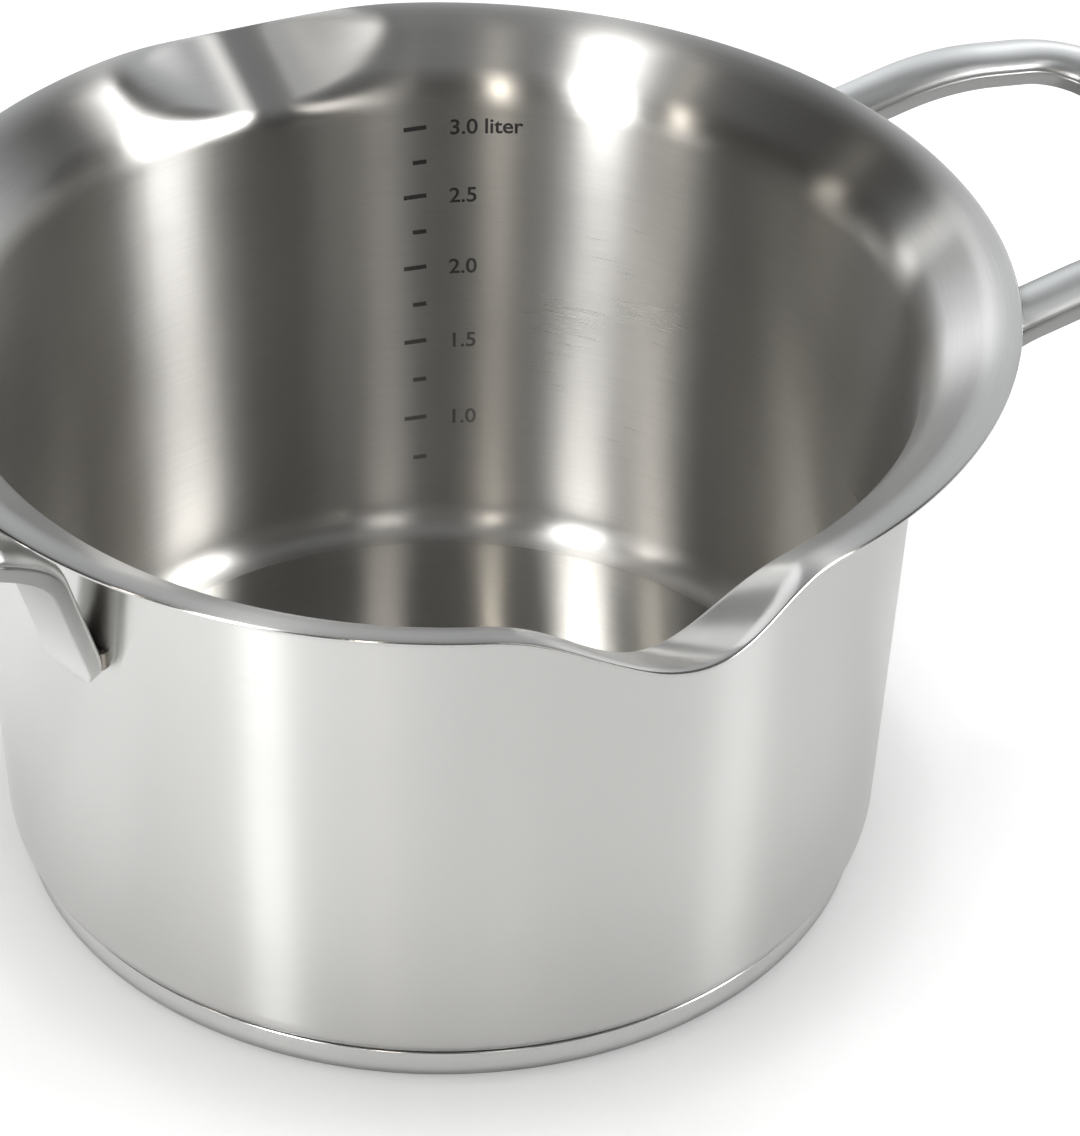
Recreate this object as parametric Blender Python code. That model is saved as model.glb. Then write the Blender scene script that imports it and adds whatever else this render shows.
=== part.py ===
"""Soup pot with a flared rim, pouring spouts and loop handles.

Metres, +Z up. The origin is the centre of the base's underside. The handles
lie along X and the spouts along Y.
"""
import math

import bmesh
import bpy
from mathutils import Vector

# Driving sizes of the pot's drawn body
POT_HEIGHT = 0.134
WALL_RADIUS_LOW = 0.0941
WALL_RADIUS_HIGH = 0.1001
SHEET = 0.0009
CORNER_RADIUS = 0.0080
RIM_RADIUS = 0.118
FLARE_RADIUS = 0.0120
BRIM_RADIUS = 0.0130
FLARE_DEPTH = 0.0164

# Pouring spouts pressed into the flared rim
SPOUT_PULL = 0.0083
SPOUT_DROP = 0.0067
SPOUT_NARROWING = 1.3
SPOUT_CREASE_RADIUS = 0.0060
SPOUT_BRIM_RADIUS = 0.0070
FRONT_SPOUT_DEPTH = 0.0250
BACK_SPOUT_DEPTH = 0.0190
SPOUT_HALF_ANGLE = math.radians(19.2)
SPOUT_EDGE_ANGLE = math.radians(10.0)

# Sandwich base
CAP_SHEET = 0.0005
CAP_INSET = 0.0031
CAP_EDGE_RADIUS = 0.0045
CORE_THICKNESS = 0.0061

# Loop handles bent from a crowned bar; depths below the rim are those of its flat face
BAR_WIDTH = 0.0135
BAR_FLANGE = 0.0034
BAR_CROWN = 0.0025
BAR_EDGE = 0.0005
FOOT_CROWN = 0.0008
FOOT_END_RADIUS = 0.0035
FOOT_AZIMUTH = math.radians(22.2)
FOOT_DROP = 0.0328
KNEE_INSET = 0.0046
KNEE_DEPTH = 0.0100
KNEE_RADIUS = 0.0130
CREST_REACH = 0.0170
CREST_DEPTH = 0.0028
CREST_RADIUS = 0.0600
GRIP_DEPTH = 0.0074
FINGER_GAP = 0.0470
LOOP_CORNER_RADIUS = 0.0260
LARGEST_BEND_SHARE = 0.48

# Clearance left between pieces that touch on the real pot
SEAT_GAP = 0.0003

# Facet counts
SPOUT_STEPS = 16
RIM_STEPS = 28
BASE_STEPS = 64
CORNER_STEPS = 5
FLARE_STEPS = 4
LIP_STEPS = 3
CROWN_STEPS = 6
BEND_STEPS = 6
LOOP_STEPS = 9
FOOT_END_STEPS = 5
FLARE_SOLVE_ROUNDS = 30

MERGE_DISTANCE = 0.000001
SHARP_EDGE_ANGLE = math.radians(35.0)


def clear_scene():
    for obj in list(bpy.data.objects):
        bpy.data.objects.remove(obj, do_unlink=True)


def material(name, colour, roughness, metallic):
    mat = bpy.data.materials.new(name)
    mat.use_nodes = True
    shader = mat.node_tree.nodes["Principled BSDF"]
    shader.inputs["Base Color"].default_value = (*colour, 1.0)
    shader.inputs["Roughness"].default_value = roughness
    shader.inputs["Metallic"].default_value = metallic
    return mat


def add_object(name, bm, mat):
    bmesh.ops.remove_doubles(bm, verts=bm.verts, dist=MERGE_DISTANCE)
    bmesh.ops.recalc_face_normals(bm, faces=bm.faces)
    mesh = bpy.data.meshes.new(name)
    bm.to_mesh(mesh)
    bm.free()
    mesh.shade_smooth()
    mesh.set_sharp_from_angle(angle=SHARP_EDGE_ANGLE)
    mesh.materials.append(mat)
    obj = bpy.data.objects.new(name, mesh)
    bpy.context.scene.collection.objects.link(obj)
    return obj


def blend(a, b, t):
    return a + (b - a) * t


# Radius and heights of the sandwich base
CAP_RADIUS = WALL_RADIUS_LOW - CAP_INSET
CORE_BOTTOM = CAP_SHEET + SEAT_GAP
SHELL_BOTTOM = CORE_BOTTOM + CORE_THICKNESS + SEAT_GAP
CORNER_TOP = SHELL_BOTTOM + CORNER_RADIUS
WALL_SLOPE = (WALL_RADIUS_HIGH - WALL_RADIUS_LOW) / (POT_HEIGHT - CORNER_TOP)
WALL_TILT = math.atan(WALL_SLOPE)

# Heights of the handles' flat face, measured down from the rim
KNEE_HEIGHT = POT_HEIGHT - KNEE_DEPTH
CREST_HEIGHT = POT_HEIGHT - CREST_DEPTH
GRIP_HEIGHT = POT_HEIGHT - GRIP_DEPTH
FOOT_BOTTOM = KNEE_HEIGHT - FOOT_DROP


def wall_radius(z):
    """Outer radius of the straight wall at height z."""
    return WALL_RADIUS_LOW + WALL_SLOPE * (z - CORNER_TOP)


def corner_height(radius):
    """Height of the body's rounded bottom corner at a radius on it."""
    run = radius - (WALL_RADIUS_LOW - CORNER_RADIUS)
    return CORNER_TOP - math.sqrt(CORNER_RADIUS ** 2 - run ** 2)


def spout_weight(angle):
    """1 on a spout's centre line, falling smoothly to 0 at its sides."""
    off = min(abs(math.remainder(angle - side, math.tau)) for side in (math.pi / 2, -math.pi / 2))
    if off >= SPOUT_HALF_ANGLE:
        return 0.0
    return (0.5 * (1.0 + math.cos(math.pi * off / SPOUT_HALF_ANGLE))) ** SPOUT_NARROWING


def add_bend(line, radius, end_slope):
    """Carry a section line of (radius, height, slope) on round a bend."""
    across, height, slope = line[-1]
    for step in range(1, FLARE_STEPS + 1):
        turned = blend(slope, end_slope, step / FLARE_STEPS)
        line.append((across + radius * (math.cos(slope) - math.cos(turned)),
                     height + radius * (math.sin(turned) - math.sin(slope)), turned))


def flare_profile(angle):
    """Inside line of the flare at a direction round the pot, as (radius, height, slope from vertical)."""
    weight = spout_weight(angle)
    end_slope = math.pi / 2 - SPOUT_EDGE_ANGLE * weight
    lip_height = POT_HEIGHT - SPOUT_DROP * weight
    reach = RIM_RADIUS + SPOUT_PULL * weight - 0.5 * SHEET * (math.cos(end_slope) + 1.0)
    depth = FRONT_SPOUT_DEPTH if math.sin(angle) < 0.0 else BACK_SPOUT_DEPTH
    start = POT_HEIGHT - blend(FLARE_DEPTH, depth, weight)
    bend = blend(FLARE_RADIUS, SPOUT_CREASE_RADIUS, weight)
    brim = blend(BRIM_RADIUS, SPOUT_BRIM_RADIUS, weight)
    inside = wall_radius(start) - SHEET
    # Find the slope at which a straight run joins the two bends
    low, high = WALL_TILT, end_slope
    for _ in range(FLARE_SOLVE_ROUNDS):
        lean = (low + high) / 2
        across = reach - inside - bend * (math.cos(WALL_TILT) - math.cos(lean))
        across -= brim * (math.cos(lean) - math.cos(end_slope))
        climb = lip_height - start - bend * (math.sin(lean) - math.sin(WALL_TILT))
        climb -= brim * (math.sin(end_slope) - math.sin(lean))
        if math.atan2(across, climb) > lean:
            low = lean
        else:
            high = lean
    line = [(inside, start, WALL_TILT)]
    add_bend(line, bend, lean)
    run = math.hypot(across, climb)
    line.append((line[-1][0] + run * math.sin(lean), line[-1][1] + run * math.cos(lean), lean))
    add_bend(line, brim, end_slope)
    return line


def shell_profile(angle):
    """Closed section of the drawn body, from the inside floor round to the underside."""
    centre_radius = WALL_RADIUS_LOW - CORNER_RADIUS
    floor_height = SHELL_BOTTOM + SHEET
    inner_corner = CORNER_RADIUS - SHEET
    points = [(0.0, floor_height)]
    for step in range(CORNER_STEPS + 1):
        turned = math.pi / 2 * step / CORNER_STEPS
        points.append((centre_radius + inner_corner * math.sin(turned),
                       CORNER_TOP - inner_corner * math.cos(turned)))
    flare = flare_profile(angle)
    points += [(radius, height) for radius, height, _ in flare]
    # Rounded edge of the lip
    radius, height, slope = flare[-1]
    half = SHEET / 2
    middle = (radius + half * math.cos(slope), height - half * math.sin(slope))
    for step in range(1, LIP_STEPS + 1):
        turned = math.pi * step / (LIP_STEPS + 1)
        out = half * math.sin(turned)
        across = -half * math.cos(turned)
        points.append((middle[0] + out * math.sin(slope) + across * math.cos(slope),
                       middle[1] + out * math.cos(slope) - across * math.sin(slope)))
    for radius, height, slope in reversed(flare):
        points.append((radius + SHEET * math.cos(slope), height - SHEET * math.sin(slope)))
    for step in range(CORNER_STEPS, -1, -1):
        turned = math.pi / 2 * step / CORNER_STEPS
        points.append((centre_radius + CORNER_RADIUS * math.sin(turned),
                       CORNER_TOP - CORNER_RADIUS * math.cos(turned)))
    points.append((0.0, SHELL_BOTTOM))
    return points


def shell_angles():
    """Directions of the body's facets, closer together across the spouts."""
    angles = []
    for side in (-math.pi / 2, math.pi / 2):
        for step in range(SPOUT_STEPS):
            angles.append(side - SPOUT_HALF_ANGLE + 2 * SPOUT_HALF_ANGLE * step / SPOUT_STEPS)
        plain = math.pi - 2 * SPOUT_HALF_ANGLE
        for step in range(RIM_STEPS):
            angles.append(side + SPOUT_HALF_ANGLE + plain * step / RIM_STEPS)
    return angles


def make_shell(mat):
    bm = bmesh.new()
    columns = []
    for angle in shell_angles():
        points = shell_profile(angle)
        columns.append([bm.verts.new((radius * math.cos(angle), radius * math.sin(angle), height))
                        for radius, height in points[1:-1]])
    top = bm.verts.new((0.0, 0.0, SHELL_BOTTOM + SHEET))
    under = bm.verts.new((0.0, 0.0, SHELL_BOTTOM))
    for index, column in enumerate(columns):
        beside = columns[(index + 1) % len(columns)]
        bm.faces.new((top, column[0], beside[0]))
        bm.faces.new((under, beside[-1], column[-1]))
        for row in range(len(column) - 1):
            bm.faces.new((column[row], column[row + 1], beside[row + 1], beside[row]))
    return add_object("pot_body", bm, mat)


def make_turned(name, outline, mat):
    """Spin a closed half section about Z."""
    bm = bmesh.new()
    verts = [bm.verts.new((radius, 0.0, height)) for radius, height in outline]
    edges = [bm.edges.new((verts[i], verts[i + 1])) for i in range(len(verts) - 1)]
    bmesh.ops.spin(bm, geom=verts + edges, cent=(0, 0, 0), axis=(0, 0, 1), angle=math.tau,
                   steps=BASE_STEPS, use_merge=True, use_duplicate=False)
    bmesh.ops.remove_doubles(bm, verts=bm.verts, dist=MERGE_DISTANCE)
    bmesh.ops.dissolve_degenerate(bm, edges=bm.edges, dist=MERGE_DISTANCE)
    return add_object(name, bm, mat)


def arc(centre, radius, start, end, steps):
    """Points on an arc in the section plane, angles from +X towards +Z."""
    points = []
    for step in range(steps + 1):
        angle = blend(start, end, step / steps)
        points.append((centre[0] + radius * math.cos(angle), centre[1] + radius * math.sin(angle)))
    return points


def make_base(core_mat, cap_mat):
    cap_inside = CAP_RADIUS - CAP_SHEET
    edge_centre = (CAP_RADIUS - CAP_EDGE_RADIUS, CAP_EDGE_RADIUS)
    lip_inner = corner_height(cap_inside) - SEAT_GAP
    outline = [(0.0, 0.0)]
    outline += arc(edge_centre, CAP_EDGE_RADIUS, -math.pi / 2, 0.0, CORNER_STEPS)
    outline += [(CAP_RADIUS, lip_inner), (cap_inside, lip_inner)]
    outline += arc(edge_centre, CAP_EDGE_RADIUS - CAP_SHEET, 0.0, -math.pi / 2, CORNER_STEPS)
    outline += [(0.0, CAP_SHEET)]
    make_turned("base_cap", outline, cap_mat)

    core_edge = CAP_EDGE_RADIUS - CAP_SHEET - SEAT_GAP
    core_top = CORE_BOTTOM + CORE_THICKNESS
    core_side = CAP_RADIUS - CAP_SHEET - SEAT_GAP
    core_centre = (core_side - core_edge, CORE_BOTTOM + core_edge)
    outline = [(0.0, CORE_BOTTOM)]
    outline += arc(core_centre, core_edge, -math.pi / 2, 0.0, CORNER_STEPS)
    outline += [(core_side, core_top), (0.0, core_top)]
    make_turned("core_disc", outline, core_mat)


def bar_section(width, crown):
    """Section of the bar: (across, up) from the middle of its flat face."""
    half = width / 2
    points = [(-half + BAR_EDGE, 0.0), (half - BAR_EDGE, 0.0), (half, BAR_EDGE),
              (half, BAR_FLANGE - BAR_EDGE)]
    for step in range(CROWN_STEPS + 1):
        angle = math.pi * step / CROWN_STEPS
        points.append(((half - BAR_EDGE) * math.cos(angle), BAR_FLANGE + crown * math.sin(angle)))
    points += [(-half, BAR_FLANGE - BAR_EDGE), (-half, BAR_EDGE)]
    return points


def rounded_path(corners, radii, steps):
    """Straight runs joined by arcs: each point with the number of corners it has passed."""
    path = [(corners[0], 0.0)]
    for index in range(1, len(corners) - 1):
        here = corners[index]
        back = (corners[index - 1] - here).normalized()
        ahead = (corners[index + 1] - here).normalized()
        half = back.angle(ahead) / 2
        shorter = min((corners[index - 1] - here).length, (corners[index + 1] - here).length)
        reach = min(radii[index - 1] / math.tan(half), shorter * LARGEST_BEND_SHARE)
        radius = reach * math.tan(half)
        centre = here + (back + ahead).normalized() * (radius / math.sin(half))
        start = here + back * reach - centre
        end = here + ahead * reach - centre
        for step in range(steps[index - 1] + 1):
            share = step / steps[index - 1]
            turned = start.slerp(end, share).normalized() * radius
            path.append((centre + turned, index - 1 + share))
    path.append((corners[-1], float(len(corners) - 2)))
    return path


def foot_slope():
    """How far the foot leans out from the wall for each metre that it rises."""
    seat = wall_radius(FOOT_BOTTOM) + SEAT_GAP + FOOT_CROWN + BAR_FLANGE
    return (RIM_RADIUS - KNEE_INSET - seat) / FOOT_DROP


def handle_path():
    """Half of the +X handle's flat-face line, from the foot's end to the grip's middle."""
    knee = RIM_RADIUS - KNEE_INSET
    low = knee - FOOT_DROP * foot_slope()
    outward = Vector((math.cos(FOOT_AZIMUTH), math.sin(FOOT_AZIMUTH), 0.0))
    leg_y = knee * outward.y
    grip_x = RIM_RADIUS + FINGER_GAP + BAR_WIDTH / 2
    corners = [outward * low + Vector((0.0, 0.0, FOOT_BOTTOM)),
               outward * knee + Vector((0.0, 0.0, KNEE_HEIGHT)),
               Vector((RIM_RADIUS + CREST_REACH, leg_y, CREST_HEIGHT)),
               Vector((grip_x, leg_y, GRIP_HEIGHT)),
               Vector((grip_x, 0.0, GRIP_HEIGHT))]
    path = rounded_path(corners, (KNEE_RADIUS, CREST_RADIUS, LOOP_CORNER_RADIUS),
                        (BEND_STEPS, BEND_STEPS, LOOP_STEPS))
    # Close steps round the foot's end, then one where its pressed crown runs out
    run = (path[1][0] - path[0][0]).normalized()
    lengths = [FOOT_END_RADIUS * (1.0 - math.cos(math.pi / 2 * step / FOOT_END_STEPS))
               for step in range(FOOT_END_STEPS + 1)]
    lengths.append((BAR_CROWN - FOOT_CROWN) / foot_slope())
    return [(path[0][0] + run * length, 0.0) for length in lengths] + path[1:]


def foot_width(along):
    """Bar width at a distance from the foot's rounded end."""
    cut = max(FOOT_END_RADIUS - along, 0.0)
    return BAR_WIDTH - 2 * (FOOT_END_RADIUS - math.sqrt(FOOT_END_RADIUS ** 2 - cut ** 2))


def bar_rings():
    """Rings of points along half a handle, from the foot's end to the grip's middle."""
    path = handle_path()
    rings = []
    for index, (point, passed) in enumerate(path):
        tangent = Vector((0.0, -1.0, 0.0))
        if index < len(path) - 1:
            tangent = (path[index + 1][0] - path[max(index - 1, 0)][0]).normalized()
        # The bar faces radially at the foot, turns square in the knee and then follows the loop
        if passed < 1.0:
            facing_angle = FOOT_AZIMUTH * (1.0 - passed * passed * (3.0 - 2.0 * passed))
        else:
            facing_angle = math.atan2(tangent.y, tangent.x)
        across = Vector((-math.sin(facing_angle), math.cos(facing_angle), 0.0))
        across = (across - tangent * across.dot(tangent)).normalized()
        up = tangent.cross(across).normalized()
        along = (point - path[0][0]).length
        crown = min(BAR_CROWN, FOOT_CROWN + along * foot_slope())
        section = bar_section(foot_width(along), crown)
        rings.append([point + across * a + up * b for a, b in section])
    return rings


def make_handle(name, side, mat):
    """Loop handle: the half bar and its mirror image, bridged ring to ring."""
    half = bar_rings()
    mirrored = [[Vector((p.x, -p.y, p.z)) for p in ring] for ring in half[:-1]]
    bm = bmesh.new()
    loops = []
    for ring in half + mirrored[::-1]:
        loops.append([bm.verts.new((p.x * side, p.y * side, p.z)) for p in ring])
    for first, second in zip(loops, loops[1:]):
        for index in range(len(first)):
            beside = (index + 1) % len(first)
            bm.faces.new((first[index], first[beside], second[beside], second[index]))
    bm.faces.new(loops[0][::-1])
    bm.faces.new(loops[-1])
    return add_object(name, bm, mat)


def main():
    clear_scene()
    body_steel = material("body_steel", (0.60, 0.59, 0.57), 0.20, 1.0)
    handle_steel = material("handle_steel", (0.64, 0.64, 0.63), 0.28, 1.0)
    cap_steel = material("cap_steel", (0.58, 0.58, 0.57), 0.18, 1.0)
    core_aluminium = material("core_aluminium", (0.78, 0.78, 0.79), 0.40, 1.0)
    make_shell(body_steel)
    make_base(core_aluminium, cap_steel)
    make_handle("handle_right", 1.0, handle_steel)
    make_handle("handle_left", -1.0, handle_steel)


main()
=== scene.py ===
"""Dresses the soup pot: fine steel surfaces, the volume scale, welds, floor, light and camera."""
import math
from collections import namedtuple
from functools import partial

import bmesh
import bpy
from bpy.props import FloatProperty, FloatVectorProperty, IntProperty, PointerProperty, StringProperty
from mathutils import Matrix, Vector


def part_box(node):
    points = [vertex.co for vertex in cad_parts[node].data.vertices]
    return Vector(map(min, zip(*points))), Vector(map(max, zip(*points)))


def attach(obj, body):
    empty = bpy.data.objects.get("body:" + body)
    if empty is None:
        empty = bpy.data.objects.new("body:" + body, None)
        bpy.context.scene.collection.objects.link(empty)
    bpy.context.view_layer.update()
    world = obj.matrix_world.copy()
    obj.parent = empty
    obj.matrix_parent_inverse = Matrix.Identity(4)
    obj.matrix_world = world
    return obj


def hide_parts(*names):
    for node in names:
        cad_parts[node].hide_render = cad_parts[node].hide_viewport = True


bl_info = {
    "name": "Soup Pot Dressing",
    "version": (1, 0, 0),
    "blender": (4, 5, 0),
    "location": "3D View > Sidebar > Soup Pot",
    "description": "Builds the soup pot's visible surfaces, volume scale and studio round its fixed frame",
    "category": "Object",
}

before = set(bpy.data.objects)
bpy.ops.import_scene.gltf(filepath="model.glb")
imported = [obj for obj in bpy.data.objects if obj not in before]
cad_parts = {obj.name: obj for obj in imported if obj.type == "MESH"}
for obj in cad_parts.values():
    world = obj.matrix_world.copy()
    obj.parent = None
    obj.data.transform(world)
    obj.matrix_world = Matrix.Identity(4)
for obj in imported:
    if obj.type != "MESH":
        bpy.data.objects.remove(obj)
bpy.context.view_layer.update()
BODY_LOW, BODY_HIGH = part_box("pot_body")
CAP_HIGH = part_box("base_cap")[1]
GRIP_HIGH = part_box("handle_right")[1]

BODY = "root"

# Mesh fineness
SPOUT_STEPS = 84
RIM_STEPS = 112
CORNER_STEPS = 14
FLARE_STEPS = 16
WALL_STEPS = 12
FLOOR_STEPS = 8
RAMP_STEPS = 5
LIP_STEPS = 7
CAP_STEPS = 256
CAP_CORNER_STEPS = 12
EDGE_STEPS = 3
CROWN_STEPS = 20
BEND_STEPS = 16
CREST_STEPS = 20
LOOP_STEPS = 28
LEG_STEPS = 6
FOOT_END_STEPS = 10
SOLVE_ROUNDS = 30
MERGE_DISTANCE = 0.000001
LARGEST_BEND_SHARE = 0.48
# Order of the body's materials
INSIDE, OUTSIDE, FLOOR = range(3)


def length(name, description, default):
    return FloatProperty(name=name, description=description, default=default, subtype="DISTANCE",
                         unit="LENGTH", precision=5)


def angle(name, description, degrees):
    return FloatProperty(name=name, description=description, default=math.radians(degrees),
                         subtype="ANGLE", unit="ROTATION")


def colour(name, description, default):
    return FloatVectorProperty(name=name, description=description, default=default, size=3,
                               subtype="COLOR", min=0.0, max=1.0)


class PotBodySizes(bpy.types.PropertyGroup):
    """Sizes of the drawn body and its spouts"""
    underside: length("Underside", "Height of the body's own underside", BODY_LOW.z)
    height: length("Height", "Height of the rim", BODY_HIGH.z)
    wall_low: length("Wall Radius Low", "Outer wall radius over the bottom corner", 0.0941)
    wall_high: length("Wall Radius High", "Outer wall radius carried on to the rim's height", 0.1001)
    sheet: length("Sheet", "Thickness of the steel sheet", 0.0009)
    corner: length("Corner Radius", "Outer radius of the bottom corner", 0.0080)
    rim: length("Rim Radius", "Radius of the flared rim", 0.118)
    flare: length("Flare Radius", "Bend radius where the wall turns into the flare", 0.0120)
    brim: length("Brim Radius", "Bend radius of the brim", 0.0130)
    flare_depth: length("Flare Depth", "Depth of the flare's beginning below the rim", 0.0164)
    spout_pull: length("Spout Pull", "How far a spout's lip is pulled out", 0.0083)
    spout_drop: length("Spout Drop", "How far a spout's lip lies below the rim", 0.0067)
    spout_crease: length("Spout Crease", "Bend radius where a spout meets the wall", 0.0060)
    spout_brim: length("Spout Brim", "Bend radius of a spout's brim", 0.0070)
    front_depth: length("Front Spout Depth", "Depth of the front spout's beginning below the rim", 0.0250)
    back_depth: length("Back Spout Depth", "Depth of the back spout's beginning below the rim", 0.0190)
    spout_half: angle("Spout Half Angle", "Half of the rim angle that a spout takes", 19.2)
    spout_ramp: angle("Spout Ramp", "Slope of a spout's edge", 10.0)
    spout_narrowing: FloatProperty(name="Spout Narrowing", description="How sharply a spout gathers",
                                   default=1.3)


class PotBaseSizes(bpy.types.PropertyGroup):
    """Sizes of the base cap"""
    radius: length("Cap Radius", "Outer radius of the base cap", CAP_HIGH.x)
    lip: length("Cap Lip", "Height of the cap's upper edge", CAP_HIGH.z)
    sheet: length("Cap Sheet", "Thickness of the cap", 0.0005)
    edge: length("Cap Edge Radius", "Outer radius of the cap's rounded edge", 0.0045)


class PotHandleSizes(bpy.types.PropertyGroup):
    """Sizes of the loop handles"""
    width: length("Bar Width", "Width of the bar", 0.0135)
    flange: length("Bar Side", "Height of the bar's flat side", 0.0034)
    crown: length("Bar Crown", "Rise of the bar's crown", 0.0025)
    edge: length("Bar Edge", "Rounding of the bar's edges", 0.0005)
    foot_crown: length("Foot Crown", "Crown left where the foot is pressed on the wall", 0.0008)
    foot_end: length("Foot End Radius", "Corner radius of the foot's end", 0.0035)
    foot_azimuth: angle("Foot Azimuth", "Direction of a foot round the pot", 22.2)
    foot_drop: length("Foot Drop", "Height from the knee down to the foot's end", 0.0328)
    foot_gap: length("Foot Gap", "Clearance between foot and wall", 0.0003)
    knee_inset: length("Knee Inset", "How far the knee lies inside the rim's radius", 0.0046)
    knee_depth: length("Knee Depth", "Depth of the knee below the rim", 0.0100)
    knee_radius: length("Knee Radius", "Bend radius of the knee", 0.0130)
    crest_reach: length("Crest Reach", "How far the crest lies outside the rim", 0.0170)
    crest_depth: length("Crest Depth", "Depth of the crest's flat face below the rim", 0.002802)
    crest_radius: length("Crest Radius", "Bend radius over the crest", 0.0600)
    grip_depth: length("Grip Depth", "Depth of the grip's flat face below the rim", 0.0074)
    grip_reach: length("Grip Reach", "Distance of the grip's outer side from the axis", GRIP_HIGH.x)
    loop_radius: length("Loop Radius", "Corner radius of the loop", 0.0260)
    weld_radius: length("Weld Radius", "Radius of the weld bead under a foot", 0.0008)


class PotScaleSizes(bpy.types.PropertyGroup):
    """Sizes and places of the volume scale on the inside wall"""
    mark_1: length("Height at 1 L", "Height of the 1 litre mark", 0.0377)
    mark_2: length("Height at 2 L", "Height of the 2 litre mark", 0.0775)
    mark_3: length("Height at 3 L", "Height of the 3 litre mark", 0.1131)
    lowest: FloatProperty(name="Lowest Mark", description="Litres at the lowest mark", default=0.75)
    step: FloatProperty(name="Step", description="Litres from mark to mark", default=0.25)
    count: IntProperty(name="Marks", description="Number of marks", default=10, min=2)
    azimuth: angle("Marks Azimuth", "Direction of the marks' right ends round the pot", 69.75)
    long_width: length("Long Mark", "Width of a half litre mark", 0.0052)
    short_width: length("Short Mark", "Width of the marks between", 0.0031)
    thickness: length("Mark Thickness", "Height of a mark", 0.0011)
    mark_tilt: angle("Mark Tilt", "How far the marks rise to the right", 7.5)
    text_tilt: angle("Text Tilt", "How far the numerals rise to the right", 4.5)
    stroke: length("Stroke", "How much heavier the numerals are drawn", 0.00008)
    digit_gap: length("Numeral Gap", "Distance from marks to numerals", 0.0050)
    digit_height: length("Numeral Height", "Height of a numeral", 0.0037)
    unit_gap: length("Unit Gap", "Distance from the top numeral to the word", 0.0014)
    lift: length("Lift", "How far the marks stand off the steel", 0.00005)
    unit: StringProperty(name="Unit", description="Word after the top numeral", default="liter")


class PotFinish(bpy.types.PropertyGroup):
    """Colours of the finishes"""
    outside: colour("Outside Steel", "Polished steel of wall and rim", (0.57, 0.568, 0.555))
    inside: colour("Inside Steel", "Brushed steel of the inside", (0.58, 0.57, 0.55))
    cap: colour("Cap Steel", "Steel of the base cap", (0.63, 0.63, 0.62))
    handle: colour("Handle Steel", "Satin steel of the handles", (0.84, 0.84, 0.83))
    # Painted shade: how light the bars' sides and inner face are drawn beside the crowned face
    handle_side_shade: FloatProperty(name="Handle Sides", default=0.38, min=0.0, max=1.0, subtype="FACTOR",
                                description="How light the bar's sides are beside its crowned face")
    weld: colour("Weld Steel", "Heat-tinted weld beads", (0.42, 0.39, 0.35))
    core: colour("Core Aluminium", "Aluminium of the core disc", (0.78, 0.78, 0.79))
    mark: colour("Scale Marks", "Dark etched marks", (0.035, 0.034, 0.034))
    floor: colour("Floor", "Studio floor", (0.80, 0.80, 0.80))


def blend(a, b, share):
    return a + (b - a) * share


# Shape of the drawn body

def add_bend(line, radius, end):
    """Carry a section line on round a bend."""
    across, height, begin = line[-1]
    for step in range(1, FLARE_STEPS + 1):
        slope = blend(begin, end, step / FLARE_STEPS)
        line.append((across + radius * (math.cos(begin) - math.cos(slope)),
                     height + radius * (math.sin(slope) - math.sin(begin)), slope))


def wall_rows(low, high):
    """Straight rows between the corner and the flare."""
    return [(blend(low[0], high[0], step / WALL_STEPS), blend(low[1], high[1], step / WALL_STEPS), 0.0)
            for step in range(1, WALL_STEPS)]


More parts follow.
